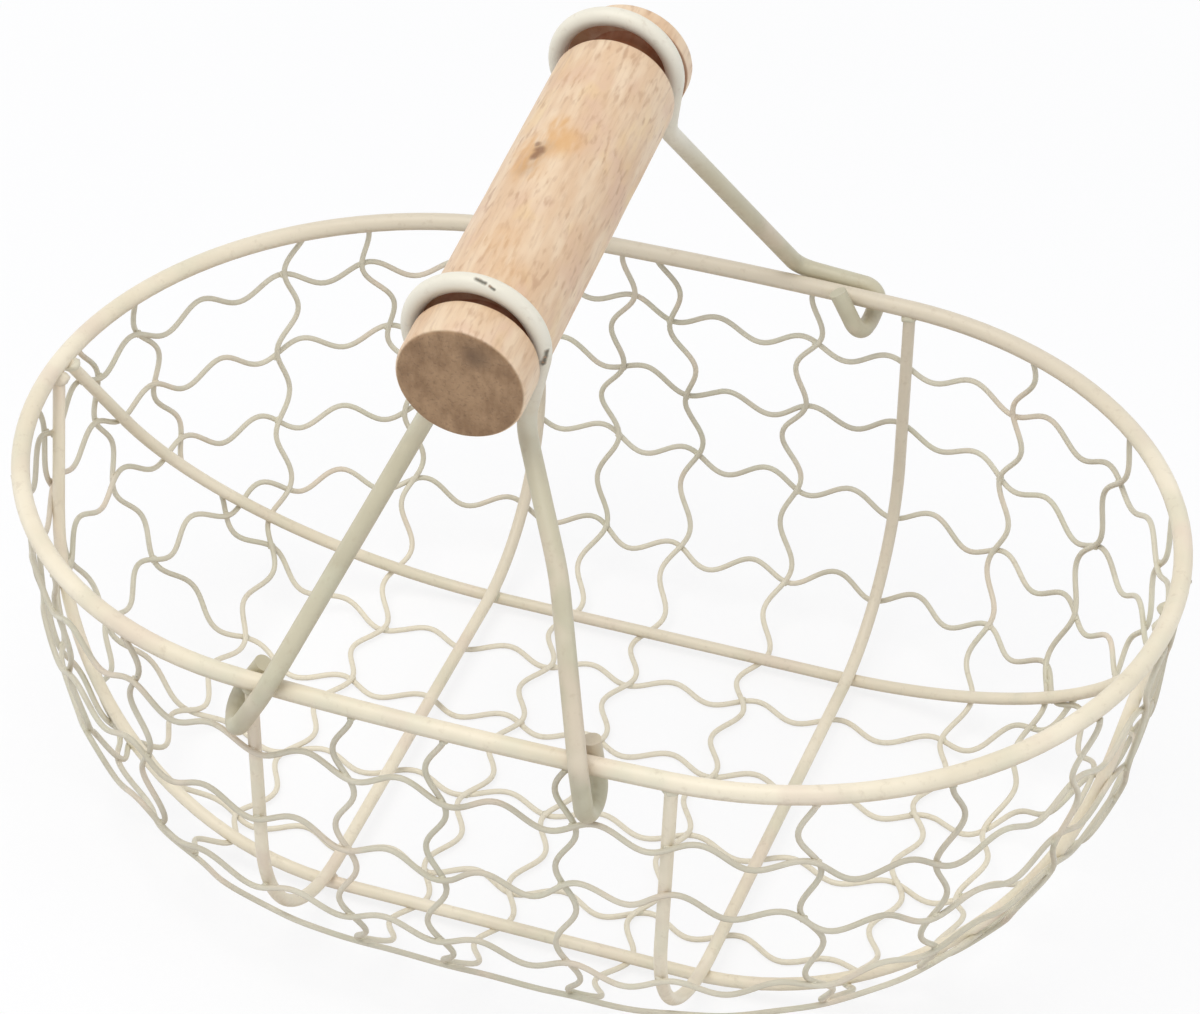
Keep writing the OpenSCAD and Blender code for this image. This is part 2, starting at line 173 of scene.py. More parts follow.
def enamel(name, light, deep, chipEdge, chipsAndShade=(), grimeAndUnderShade=0.5, fade=None):
    g = Graph(bpy.data.materials.new(name))
    here = g.place()
    cloud = g.between(g.noise(here, enamelLook["cloudScale"], 4.0), 0.32, 0.68)
    fine = g.noise(here, enamelLook["peelScale"], 2.0)
    colour = g.mix(cloud, light, deep)
    colour = g.mix(g.between(g.noise(here, 74.0, 2.0), 0.5, 0.68) * 0.32, colour, enamelLook["olive"])
    colour = g.mix(g.between(g.noise(here, 58.0, 2.0), 0.52, 0.68) * 0.5, colour, enamelLook["rose"])
    if fade:  # the tone changes along an axis, between two places on it
        axis, low, high, tone = fade
        along = g.node("SeparateXYZ", None, {"Vector": here}, out="XYZ".index(axis))
        colour = g.mix(g.between(along, low, high), colour, tone)
    speckle = g.between(g.noise(here, 420.0, 3.0, 0.7), 0.55, 0.75)
    colour = g.mix(speckle * 0.18, colour, enamelLook["grimeAndUnderShade"])
    # Brown film that gathers where the wire faces down
    # Painted shade: the paint turns browner and darker where the wire faces down, in place of the shade under the wire
    facing = g.node("SeparateXYZ", None, {"Vector": g.node("NewGeometry", None, None, out=1)}, out=2)
    underShade = g.between(facing, 0.25, -0.7) * (0.75 + (fine - 0.5) * 0.6)
    colour = g.mix(underShade * grimeAndUnderShade, colour, enamelLook["grimeAndUnderShade"])
    chipAndShade = g.between(g.noise(here, enamelLook["chipScale"], 4.0, 0.6), chipEdge, chipEdge + 0.012)
    ragged = g.noise(here, 900.0, 2.0)
    # worn chips along lines, and streaks of painted shade, coloured as bare metal
    for start, end, reach in chipsAndShade:
        chipAndShade = g.maths("MAXIMUM", chipAndShade, g.streak(here, start, end, reach, ragged))
    metalAndShadeTone = g.mix(g.between(g.noise(here, 1400.0), 0.5, 0.7), enamelLook["steel"], enamelLook["rust"])
    colour = g.mix(chipAndShade * 0.9, colour, metalAndShadeTone)
    rough = enamelLook["roughness"] + (fine - 0.5) * 0.12 + chipAndShade * 0.3 + underShade * 0.2
    height = fine * 0.6 + g.noise(here, 240.0, 3.0) * 1.4 - chipAndShade * 2.2
    bump = g.node("Bump", None, {"Height": height, "Distance": enamelLook["peelDepth"], "Strength": 0.7})
    shader = g.node("BsdfPrincipled", None, {
        "Base Color": colour, "Roughness": rough, "Normal": bump,
        "Specular IOR Level": 0.45, "Coat Weight": 0.0,
    })
    return g.finish(shader)


# The grip, in its own axes: x to the right, y up, z along it to the back; metres
gripShape = {
    "middle": (-0.009, 0.0, 0.156),
    "turn": math.radians(1.9),
    "tilt": math.radians(3.6),
    "radius": 0.0133,
    "front": -0.0592,
    "back": 0.0536,
    "frontGroove": (-0.0499, -0.0446, 0.0091),   # walls, and radius of the bottom
    "backGroove": (0.0398, 0.0492, 0.0087),
    "edge": 0.0012,
    "around": 144,
}


def gripMatrix():
    turn, tilt = gripShape["turn"], gripShape["tilt"]
    along = Vector((-math.sin(turn) * math.cos(tilt), math.cos(turn) * math.cos(tilt), math.sin(tilt)))
    right = along.cross(Vector((0, 0, 1))).normalized()
    up = right.cross(along)
    axes = Matrix((right, -up, along)).transposed().to_4x4()
    return Matrix.Translation(gripShape["middle"]) @ axes


woodLook = {
    "pale": rgb(229, 205, 174),
    "warm": rgb(217, 185, 150),
    "pink": rgb(215, 181, 154),
    "honey": rgb(227, 197, 146),
    "speck": rgb(180, 142, 111),
    "endPale": rgb(174, 141, 106),
    "endDark": rgb(138, 107, 76),
    "endPore": rgb(104, 80, 58),
    # the grooves' dark red-brown: worn wood, and painted shade deep in them
    "groove": rgb(138, 78, 42),
    "stain": rgb(214, 168, 114),
    "heart": rgb(116, 72, 34),
}


def onGrip(along, degrees):  # a point of the grip's skin
    radius = gripShape["radius"]
    angle = math.radians(degrees)
    return (radius * math.cos(angle), -radius * math.sin(angle), along)


# Stains of the knot and of handling: centre, reach and strength; then the knot's dark heart
woodStains = (
    (onGrip(0.0035, 95), 0.0085, 0.85), (onGrip(0.0045, 87), 0.0060, 0.6), (onGrip(0.0098, 99), 0.0040, 0.9),
    (onGrip(-0.0042, 110), 0.0052, 0.9), (onGrip(0.0018, 120), 0.0050, 0.7), (onGrip(-0.0075, 103), 0.0060, 0.5),
    (onGrip(-0.0008, 103), 0.0042, 0.8),
    (onGrip(-0.030, 96), 0.0080, 0.35), (onGrip(-0.038, 74), 0.0070, 0.3), (onGrip(0.028, 110), 0.0075, 0.25),
)
knotHeart = (  # start, end, reach and strength
    (onGrip(-0.0020, 104.5), onGrip(0.0002, 102.3), 0.0021, 0.8),
    (onGrip(-0.0004, 101.8), onGrip(0.0002, 104.5), 0.0021, 0.8),
    (onGrip(0.0019, 107.3), onGrip(0.0023, 107.7), 0.0012, 0.7),
    (onGrip(-0.0065, 106.0), onGrip(0.0010, 101.5), 0.0038, 0.22),
)


def wood(name):
    g = Graph(bpy.data.materials.new(name))
    here = g.place()
    along = g.node("SeparateXYZ", None, {"Vector": here}, out=2)
    broad = g.noise(g.place((1, 1, 0.22)), 200.0, 3.0, 0.55)
    patches = g.noise(g.place((1, 1, 0.7)), 105.0, 2.0)
    honey = g.noise(g.place((1, 1, 0.5)), 150.0, 2.0)
    fibre = g.noise(g.place((1, 1, 0.07)), 1300.0, 3.0, 0.6)
    specks = g.noise(g.place((1, 1, 0.26)), 980.0, 2.0, 0.4)
    dense = g.between(g.noise(here, 90.0, 2.0), 0.38, 0.62)
    colour = g.mix(g.between(broad, 0.36, 0.64), woodLook["pale"], woodLook["warm"])
    colour = g.mix(g.between(patches, 0.5, 0.68) * 0.6, colour, woodLook["pink"])
    colour = g.mix(g.between(honey, 0.54, 0.7) * 0.45, colour, woodLook["honey"])
    speck = g.between(specks, 0.5, 0.74) * (0.22 + dense * 0.42)
    colour = g.mix(speck, colour, woodLook["speck"])
    colour = g.mix(g.between(fibre, 0.48, 0.72) * 0.24, colour, woodLook["speck"])
    for centre, reach, share in woodStains:
        stain = g.spot(here, centre, reach, 0.15) * share
        colour = g.mix(stain * g.between(honey + specks, 0.55, 1.15), colour, woodLook["stain"])
    heart = 0.0
    for start, end, reach, share in knotHeart:
        heart = g.maths("MAXIMUM", heart, g.streak(here, start, end, reach, specks) * share)
    colour = g.mix(heart, colour, woodLook["heart"])

    # End grain: cut pores and soft patches on the two faces
    front = g.between(along, gripShape["front"] + 0.0005, gripShape["front"] + 0.0001)
    back = g.between(along, gripShape["back"] - 0.0005, gripShape["back"] - 0.0001)
    ends = g.maths("MAXIMUM", front, back)
    mottle = g.noise(g.place((1, 0.5, 1)), 330.0, 4.0, 0.6)
    dots = g.between(g.noise(here, 1500.0, 2.0), 0.55, 0.7)
    endColour = g.mix(g.between(mottle, 0.25, 0.75), woodLook["endDark"], woodLook["endPale"])
    endColour = g.mix(g.spot(here, (0.0005, 0.001, gripShape["front"]), 0.006, 0.1) * 0.55, endColour,
                      woodLook["endPale"])
    endColour = g.mix(g.spot(here, (0.0035, -0.0075, gripShape["front"]), 0.0042, 0.1) * 0.7, endColour,
                      woodLook["endPore"])
    endColour = g.mix(dots * 0.22, endColour, woodLook["endPore"])
    colour = g.mix(ends, colour, endColour)

    # Turned grooves, darkened by the tool and by years of the rings rubbing in them, and painted darker still as the
    # shade deep in the grooves
    groove = 0.0
    for low, high, _ in (gripShape["frontGroove"], gripShape["backGroove"]):
        inside = g.between(along, low - 0.0004, low + 0.0002) * g.between(along, high + 0.0004, high - 0.0002)
        groove = inside + groove
    colour = g.mix(groove * (0.74 + broad * 0.4), colour, woodLook["groove"])
    rough = 0.47 + (broad - 0.5) * 0.15 + ends * 0.25 + groove * 0.15
    height = fibre * 0.8 + broad * 0.6 - speck * 1.2 - dots * ends
    bump = g.node("Bump", None, {"Height": height, "Distance": 0.00009, "Strength": 0.8})
    shader = g.node("BsdfPrincipled", None, {
        "Base Color": colour, "Roughness": rough, "Normal": bump, "Specular IOR Level": 0.5,
    })
    return g.finish(shader)


frontRing = {"along": -0.0469, "radius": 0.0134, "right": -0.0007, "up": 0.0019, "wire": 0.002}


def onRing(degrees, back):  # a point of the front ring's wire, turned back from its crown
    matrix = gripMatrix()
    angle = math.radians(degrees)
    out = Vector((math.cos(angle), -math.sin(angle), 0))
    lean = math.radians(back)
    centre = out * frontRing["radius"] + Vector((frontRing["right"], -frontRing["up"], frontRing["along"]))
    return tuple(matrix @ (centre + frontRing["wire"] * (out * math.cos(lean) + Vector((0, 0, math.sin(lean))))))


# The wall of the basket: the driving sizes of the wire frame and of the mesh that lies on it, in metres
wall = {
    "rimLength": 0.250, "rimWidth": 0.1695, "sideRadius": 0.9, "rimHeight": 0.087, "rimWire": 0.004,
    "frameWire": 0.0028, "ribCorner": 0.038,
    "longSpread": 0.103, "longGap": 0.0044, "longFloor": 0.2155, "longCorner": 0.080,
    "meshWire": 0.0013, "waveHeight": 0.0044, "weld": 0.00025,
    "rimSet": 0.001, "meshCorner": 0.038, "floorLength": 0.154, "joinRise": 0.0055,
    "ringSwap": 0.046, "ringSwapHalf": 0.008, "ringRisePower": 3.4,
}
rimA = wall["rimLength"] / 2
rimB = wall["rimWidth"] / 2
sideR = wall["sideRadius"]
frameR = wall["frameWire"] / 2
cadHalf = wall["meshWire"] * math.sqrt(math.pi) / 4  # half side of the solids' square mesh wire
innerOff = frameR + cadHalf - wall["weld"]
outerOff = innerOff + 2 * cadHalf - wall["weld"]
floorZ = outerOff + cadHalf
sideHalf = rimB - wall["rimSet"]
wallCorner = wall["meshCorner"] - innerOff
topZ = wall["rimHeight"] - wall["rimWire"] / 4
floorA = wall["floorLength"] / 2
joinZ = floorZ + wall["joinRise"]


def endArc(b, x, y):  # centre and radius of the end arc of an oval through (x, y)
    c2 = sideR - b
    s = sideR * sideR
    g = s - c2 * c2 + x * x + y * y
    qa = s - x * x
    qb = x * (g - 2 * s)
    qc = s * (x * x + y * y) - g * g / 4
    centre = (-qb - math.sqrt(qb * qb - 4 * qa * qc)) / (2 * qa)
    return centre, math.hypot(x - centre, y)


def ovalThrough(b, x, y):  # an oval is its half width, its end arc's centre and that arc's radius
    centre, radius = endArc(b, x, y)
    return b, centre, radius


def bow(x):
    return sideR - math.sqrt(sideR * sideR - x * x)


def swapAngle(oval):
    return math.atan2(sideR - oval[0], oval[1])


def ovalPoint(oval, t):
    c, s = abs(math.cos(t)), abs(math.sin(t))
    end = math.atan2(s, c) < swapAngle(oval)
    x = oval[1] + oval[2] * c if end else sideR * c
    y = oval[2] * s if end else sideR * s - (sideR - oval[0])
    return math.copysign(x, math.cos(t)), math.copysign(y, math.sin(t))


def ovalY(oval, x):
    x = abs(x)
    if x < sideR * math.cos(swapAngle(oval)):
        return oval[0] - bow(x)
    return math.sqrt(max(0, oval[2] ** 2 - (x - oval[1]) ** 2))


def ovalX(oval, y):
    return oval[1] + math.sqrt(max(0, oval[2] ** 2 - y * y))


longTop = (rimA - wall["rimSet"], wall["longGap"] / 2, topZ)
longFoot = (wall["longFloor"] / 2, wall["longSpread"] / 2, floorZ)
longRise = math.hypot(longFoot[1] - longTop[1], topZ - floorZ)
longLean = math.atan2(longTop[0] - longFoot[0], longRise)
longCut = wall["longCorner"] * math.tan((math.pi / 2 - longLean) / 2)


def longPoint(z):  # where the long wires cross height z
    share = (z - floorZ) / (topZ - floorZ)
    v = share * longRise
    r = wall["longCorner"]
    if v < longCut * math.cos(longLean):
        x = longFoot[0] - longCut + math.sqrt(r * r - (r - v) ** 2)
    else:
        x = longFoot[0] + v * math.tan(longLean)
    return x, longFoot[1] + share * (longTop[1] - longFoot[1])


def wallHalf(z):
    up = wallCorner - min(z - floorZ, wallCorner)
    return sideHalf - wallCorner + math.sqrt(wallCorner * wallCorner - up * up)


joinOval = ovalThrough(wallHalf(joinZ), *longPoint(joinZ))
joinA = joinOval[1] + joinOval[2]
floorArc = ((joinA - floorA) ** 2 + wall["joinRise"] ** 2) / (2 * wall["joinRise"])


def wallOval(z):
    if z < joinZ:
        end = floorA + math.sqrt(floorArc ** 2 - (floorArc - (z - floorZ)) ** 2)
        return ovalThrough(wallHalf(z), end, 0)
    return ovalThrough(wallHalf(z), *longPoint(z))


def onSide(oval, x, y):  # whether (x, y) is nearer to a long side than to an end
    return x * (sideR - oval[0]) < oval[1] * (y + sideR - oval[0])


def outside(x, y, z):  # how far a point stands out of the wall's oval of height z
    oval = wallOval(z)
    if onSide(oval, x, y):
        return math.hypot(x, y + sideR - oval[0]) - sideR
    return math.hypot(x - oval[1], y) - oval[2]


def wallNormal(p):
    x, y = abs(p[0]), abs(p[1])
    if outside(x, y, floorZ) < 0.00005:
        return Vector((0, 0, -1))
    oval = wallOval(p[2])
    out = Vector((x, y + sideR - oval[0]) if onSide(oval, x, y) else (x - oval[1], y)).normalized()
    high, low = p[2] + 0.0002, max(floorZ, p[2] - 0.0002)
    slope = (outside(x, y, high) - outside(x, y, low)) / (high - low)
    return Vector((math.copysign(out[0], p[0]), math.copysign(out[1], p[1]), slope)).normalized()


# Paths on the wall. A wire's places are spread evenly over the height that it climbs
riseSteps = 60


def smoothStep(t):
    t = max(0, min(1, t))
    return t * t * (3 - 2 * t)


def climbs():
    return [(k / riseSteps) ** 2 for k in range(riseSteps + 1)]


def placeAt(places, share):
    i = min(int(share * (len(places) - 1)), len(places) - 2)
    return places[i] + (places[i + 1] - places[i]) * (share * (len(places) - 1) - i)


def crossLow(x):  # the height at which the wall's end reaches out to x
    if x < floorA:
        return floorZ
    low, high = floorZ, 0.040
    for step in range(40):
        middle = (low + high) / 2
        if ovalX(wallOval(middle), 0) < x:
            low = middle
        else:
            high = middle
    return high


def crossHalf(places, way):  # from the floor up
    low = crossLow(abs(places[0]))
    half = []
    for share in climbs():
        x, z = placeAt(places, share), low + (topZ - low) * share
        half.append(Vector((x, way * ovalY(wallOval(z), x), z)))
    return half


def floorHalf(places, way):
    half = []
    for share in climbs():
        y, z = placeAt(places, share), floorZ + (topZ - floorZ) * share
        half.append(Vector((way * ovalX(wallOval(z), y), y, z)))
    return half


def crossPath(front, back):
    return crossHalf(front, -1)[::-1] + crossHalf(back, 1)


def floorPath(left, right):
    return floorHalf(left, -1)[::-1] + floorHalf(right, 1)


def strayAt(strays, angle):
    place = angle % (2 * math.pi) / (2 * math.pi) * len(strays)
    i = int(place) % len(strays)
    start, end = strays[i], strays[(i + 1) % len(strays)]
    return (start + (end - start) * smoothStep(place - int(place))) / 1000


def ringPath(side, end, strays):
    middle = wallOval((side + end) / 2)
    path = []
    for step in range(361):
        t = math.radians(step)
        x, y = ovalPoint(middle, t)
        share = abs(x) / (middle[1] + middle[2])
        z = side + (end - side) * share ** wall["ringRisePower"] + strayAt(strays, math.atan2(y, x))
        path.append(Vector((*ovalPoint(wallOval(z), t), z)))
    return path


def evenPath(path, count):  # the path cut into equal steps
    far = [0.0]
    for a, b in zip(path, path[1:]):
        far.append(far[-1] + (b - a).length)
    even, i = [], 0
    for k in range(count + 1):
        want = far[-1] * k / count
        while i < len(far) - 2 and far[i + 1] < want:
            i += 1
        span = far[i + 1] - far[i]
        even.append(path[i].lerp(path[i + 1], (want - far[i]) / span if span > 0 else 0))
    return even


def pathLength(path):
    return sum((b - a).length for a, b in zip(path, path[1:]))


def ringOff(p):  # a ring lies outside the uprights of the side walls and inside those of the end walls
    return innerOff + (outerOff - innerOff) * smoothStep(
        (abs(p[1]) - wall["ringSwap"]) / (2 * wall["ringSwapHalf"]) + 0.5)


# The mesh wires: round wire, evenly crimped, laid on the wall in the layers of the solids
meshLook = {
    "radius": 0.00063,
    "sides": 12,
    "cadPoints": 5,       # points along one wave of the solids
    "finePoints": 20,     # points along one wave here
}
# Rings: height at the sides and at the ends, number of waves, start of the wave in degrees, and how far
# the ring strays up at every 30 degrees round the basket, in millimetres
rings = {
    "mesh_ring_top": (0.0684, 0.0718, 33, 0, (-3, 0.5, 1, 1, 4.5, 4.5, 4, 4.5, 3, 2.5, 2.5, -5.5)),
    "mesh_ring_upper": (0.0528, 0.0588, 33, 62, (-3, -6, -1.5, -4, 3, 0.5, 4, 1, 0, -3, 3.5, -6)),
    "mesh_ring_lower": (0.0313, 0.0458, 32, 343, (-3, -4.5, -1.5, -0.5, 2, 0, 1.5, 0, 0, 0, 0, -2)),
    "mesh_ring_bottom": (0.0143, 0.0258, 30, 177, (0, 0.5, -0.5, -2, 0, 5, 2, 1.5, 1.5, 1.5, 1, 0.5)),
}
# Wires from rim to rim: places up the one wall and up the other, number of waves, start of the wave
crossWires = {
    "cross_wire_1": ((-0.091, -0.096), (-0.091, -0.097, -0.0945), 11, 56),
    "cross_wire_2": ((-0.068, -0.072), (-0.066, -0.0725, -0.083), 13.4, 324),
    "cross_wire_3": ((-0.0235, -0.023), (-0.0248, -0.026, -0.021), 14.6, 85),
    "cross_wire_4": ((-0.004, -0.003), (-0.005, -0.005, -0.0135), 14.4, 107),
    "cross_wire_5": ((0.0245, 0.024), (0.022, 0.0184, 0.0245), 14.4, 159),
    "cross_wire_6": ((0.074, 0.071), (0.072, 0.0712, 0.0745), 13.2, 113),
    "cross_wire_7": ((0.0885, 0.097), (0.0885, 0.0935, 0.1025), 11, 262),
}
floorWires = {
    "floor_wire_1": ((-0.037, -0.036), (-0.037, -0.036), 16.8, 28),
    "floor_wire_2": ((-0.012, -0.012), (-0.0095, -0.012), 16.2, 152),
    "floor_wire_3": ((0.0135, 0.012), (0.0135, 0.012), 17.8, 69),
    "floor_wire_4": ((0.036, 0.029), (0.038, 0.036), 17, 322),
}


def crimped(path, off, waves, start, closed):  # the centre line of a waved wire
    fine = meshLook["finePoints"] // meshLook["cadPoints"]
    count = round(meshLook["cadPoints"] * waves) * fine
    base = evenPath(path, count)
    line = []
    for i in range(count if closed else count + 1):
        ahead = base[(i + 1) % count] if closed else base[min(i + 1, count)]
        behind = base[(i - 1) % count] if closed else base[max(i - 1, 0)]
        normal = wallNormal(base[i])
        sideways = normal.cross(ahead - behind).normalized()
        phase = 2 * math.pi * waves * i / count + math.radians(start)
        line.append(base[i] + normal * off(base[i]) + sideways * wall["waveHeight"] / 2 * math.sin(phase))
    return line


# A round tube along a line, with frames carried along so that it doesn't twist
def tube(name, line, radius, sides, closed=False):
    count = len(line)
    steps = [(line[(i + 1) % count if closed else min(i + 1, count - 1)]
              - line[(i - 1) % count if closed else max(i - 1, 0)]).normalized() for i in range(count)]
    side = steps[0].cross(Vector((0, 0, 1)))
    if side.length < 0.1:
        side = steps[0].cross(Vector((1, 0, 0)))
    side.normalize()
    sidesAlong = []
    for i in range(count):
        side = (side - steps[i] * side.dot(steps[i])).normalized()
        sidesAlong.append(side)
    twist = 0.0
    if closed:  # the turn that closes the seam is spread over the whole ring
        last = (side - steps[0] * side.dot(steps[0])).normalized()
        twist = math.atan2(last.cross(sidesAlong[0]).dot(steps[0]), last.dot(sidesAlong[0]))
    bm = bmesh.new()
    loops = []
    for i in range(count):
        turn = twist * i / count
        a = sidesAlong[i]
        b = steps[i].cross(a)
        loop = []
        for k in range(sides):
            angle = 2 * math.pi * k / sides + turn
            loop.append(bm.verts.new(line[i] + (a * math.cos(angle) + b * math.sin(angle)) * radius))
        loops.append(loop)
    for i in range(count if closed else count - 1):
        here, there = loops[i], loops[(i + 1) % count]
        for k in range(sides):
            bm.faces.new((here[k], here[(k + 1) % sides], there[(k + 1) % sides], there[k]))
    if not closed:
        bm.faces.new(list(reversed(loops[0])))
        bm.faces.new(loops[-1])
    return meshObject(name, bm)


def meshObject(name, bm, smooth=True):
    mesh = bpy.data.meshes.new(name)
    bm.normal_update()
    bm.to_mesh(mesh)
    bm.free()
    for polygon in mesh.polygons:
        polygon.use_smooth = smooth
    made = bpy.data.objects.new(name, mesh)
    bpy.context.scene.collection.objects.link(made)
    return made


def settle(piece, body, slot, material, *nodes):  # the piece's body, finish and the nodes it stands for; slot is not used
    piece.data.materials.clear()
    piece.data.materials.append(material)
    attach(piece, body)
    if nodes:
        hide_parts(*nodes)


# Worn marks on the front ring, the last a streak of painted shade where the ring's wire turns in against the wood:
# start, end and reach
ringChipsAndShade = (
    (onRing(87, -22), onRing(80, -32), 0.0007), (onRing(76, -39), onRing(72, -46), 0.0005),
    # painted shade: the dark streak where the ring's wire meets the grip
    (onRing(4, -41), onRing(-7, -65), 0.0009),
)
frameEnamel = enamel("creamEnamelFrame", rgb(240, 230, 206), rgb(228, 217, 191), 0.79, grimeAndUnderShade=0.65,
                     fade=enamelLook["backFade"])
meshEnamel = enamel("creamEnamelMesh", rgb(218, 212, 191), rgb(199, 192, 171), 0.77, grimeAndUnderShade=0.6,
                    fade=enamelLook["floorPaintedLight"])
bailEnamel = enamel("creamEnamelBails", rgb(201, 194, 168), rgb(186, 179, 153), 0.80, ringChipsAndShade,
                    fade=enamelLook["ringPaintedHighlight"])
weldEnamel = enamel("creamEnamelWelds", rgb(221, 215, 193), rgb(203, 197, 173), 0.78, grimeAndUnderShade=0.2)
gripWood = wood("turnedGripWood")

for nodeName in ("rim", "rib_left", "rib_right", "long_wire_front", "long_wire_back"):
    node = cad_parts[nodeName]
    node.data.materials.clear()
    node.data.materials.append(frameEnamel)
for nodeName in ("bail_front", "bail_back"):
    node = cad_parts[nodeName]
    node.data.materials.clear()
    node.data.materials.append(bailEnamel)
print("finishes made")

# Every waved wire, with its centre line kept for the welds
lines = {}
for nodeName, (side, end, waves, start, strays) in rings.items():
    lines[nodeName] = crimped(ringPath(side, end, strays), ringOff, waves, start, True)
for nodeName, (front, back, waves, start) in crossWires.items():
    lines[nodeName] = crimped(crossPath(front, back), lambda p: innerOff, waves, start, False)
floorOff = outerOff - (meshLook["radius"] - cadHalf)  # the round wire rests on the table as the square one does
for nodeName, (left, right, waves, start) in floorWires.items():
    lines[nodeName] = crimped(floorPath(left, right), lambda p: floorOff, waves, start, False)
for nodeName, line in lines.items():
    wire = tube("waved_" + nodeName, line, meshLook["radius"], meshLook["sides"], nodeName in rings)
    settle(wire, "basket", "mesh_paint", meshEnamel, nodeName)
print("mesh wires made:", len(lines))


# Centre lines of the frame's plain wires, for the welds on them
def bentLine(corners, radii, step=0.0015):
    line = [Vector(corners[0])]
    for i, radius in enumerate(radii, 1):
        a, p, b = Vector(corners[i - 1]), Vector(corners[i]), Vector(corners[i + 1])
        u, v = (a - p).normalized(), (b - p).normalized()
        half = u.angle(v) / 2
        centre = p + (u + v).normalized() * radius / math.sin(half)
        start = p + u * radius / math.tan(half)
        arm = start - centre
        turn = math.pi - 2 * half
        axis = u.cross(v).normalized()
        for k in range(13):
            line.append(centre + Matrix.Rotation(-turn * k / 12, 3, axis) @ arm)
    line.append(Vector(corners[-1]))
    return evenPath(line, round(pathLength(line) / step))


frameLines = {}
for name, x, lean in (("rib_left", -0.0431, 0.0004), ("rib_right", 0.0454, -0.0027)):
    halfAt = lambda x: sideHalf - bow(x) + outerOff - cadHalf + wall["weld"] - frameR
    seat = max(0, wall["longSpread"] / 2 - (halfAt(x) - wall["ribCorner"]))
    low = floorZ + wall["frameWire"] - wall["weld"] - (
        wall["ribCorner"] - math.sqrt(wall["ribCorner"] ** 2 - seat ** 2))
    frameLines[name] = bentLine([(x, halfAt(x), topZ), (x, halfAt(x), low),
                                 (x + lean, -halfAt(x + lean), low), (x, -halfAt(x), topZ)],
                                [wall["ribCorner"]] * 2)
for name, way in (("long_wire_front", -1), ("long_wire_back", 1)):
    corners = [(side * p[0], way * p[1], p[2]) for side, p in
               ((1, longTop), (1, longFoot), (-1, longFoot), (-1, longTop))]
    frameLines[name] = bentLine(corners, [wall["longCorner"]] * 2)
rimOval = ovalThrough(rimB, rimA, 0)
rimLine = [Vector((*ovalPoint(rimOval, math.radians(t / 2)), wall["rimHeight"])) for t in range(720)]

# Weld nuggets: a small rounded lump of metal and paint wherever two wires are welded
weldShape = {"spread": 1.25, "thick": 0.8, "rough": 0.16, "reach": 0.00035}


def crossings(lineA, lineB, near):  # the places where two lines pass closest, within reach
    tree = kdtree.KDTree(len(lineB))
    for i, p in enumerate(lineB):
        tree.insert(p, i)
    tree.balance()
    found = [tree.find(p) for p in lineA]
    places = []
    for i, (there, _, away) in enumerate(found):
        before = found[max(i - 1, 0)][2]
        after = found[min(i + 1, len(found) - 1)][2]
        if away < near and away <= before and away < after + 1e-9:
            if not places or (places[-1][0] - lineA[i]).length > 0.002:
                places.append((lineA[i], there))
    return places


def nugget(bm, centre, through, size, seed):  # through: the way from one wire to the other
    across = through.orthogonal().normalized()
    axes = Matrix((across, through.cross(across), through)).transposed()
    scale = Matrix.Diagonal((size * weldShape["spread"], size * weldShape["spread"] * 0.9, size * weldShape["thick"]))
    ball = bmesh.ops.create_icosphere(bm, subdivisions=3, radius=1.0)
    for vertex in ball["verts"]:
        lump = noise.noise(vertex.co * 1.6 + Vector((seed * 3.7, seed * 1.3, 0))) * weldShape["rough"] * 2
        vertex.co = centre + axes @ (scale @ (vertex.co * (1 + lump)))


radii = {name: meshLook["radius"] for name in lines} | {name: frameR for name in frameLines}
everyLine = lines | frameLines
names = list(everyLine)
beads = bmesh.new()
made = 0
for i, first in enumerate(names):
    for second in names[i + 1:]:
        reach = radii[first] + radii[second] + weldShape["reach"]
        for a, b in crossings(everyLine[first], everyLine[second], reach):
            through = (b - a).normalized() if (b - a).length > 1e-6 else wallNormal(a)
            share = radii[first] / (radii[first] + radii[second])
            size = min(radii[first], radii[second]) * (1.15 if radii[first] == radii[second] == frameR else 1.45)
            nugget(beads, a.lerp(b, share), through, size * 0.8, made)
            made += 1
crossingWelds = meshObject("crossing_welds", beads)
settle(crossingWelds, "basket", "mesh_paint", weldEnamel)
beads = bmesh.new()
for name, line in everyLine.items():
    if name in rings:
        continue
    for way in (line, line[::-1]):
        end = next(p for p in way if p.z < wall["rimHeight"] - wall["rimWire"] / 2)
        size = radii[name] * (1.3 if name.startswith("long") else 1.1)
        flat = Vector((end.x, end.y, 0))
        over = max(0, outside(abs(end.x), abs(end.y), topZ) - wall["rimSet"] + size * 1.45 - wall["rimWire"] / 2)
        flat -= wallNormal(Vector((end.x, end.y, topZ))) * over
        nugget(beads, Vector((flat.x, flat.y, wall["rimHeight"] - wall["rimWire"] / 2)), Vector((0, 0, 1)), size, made)
        made += 1
rimWelds = meshObject("rim_welds", beads)
settle(rimWelds, "basket", "frame_paint", weldEnamel)
print("welds made:", made)


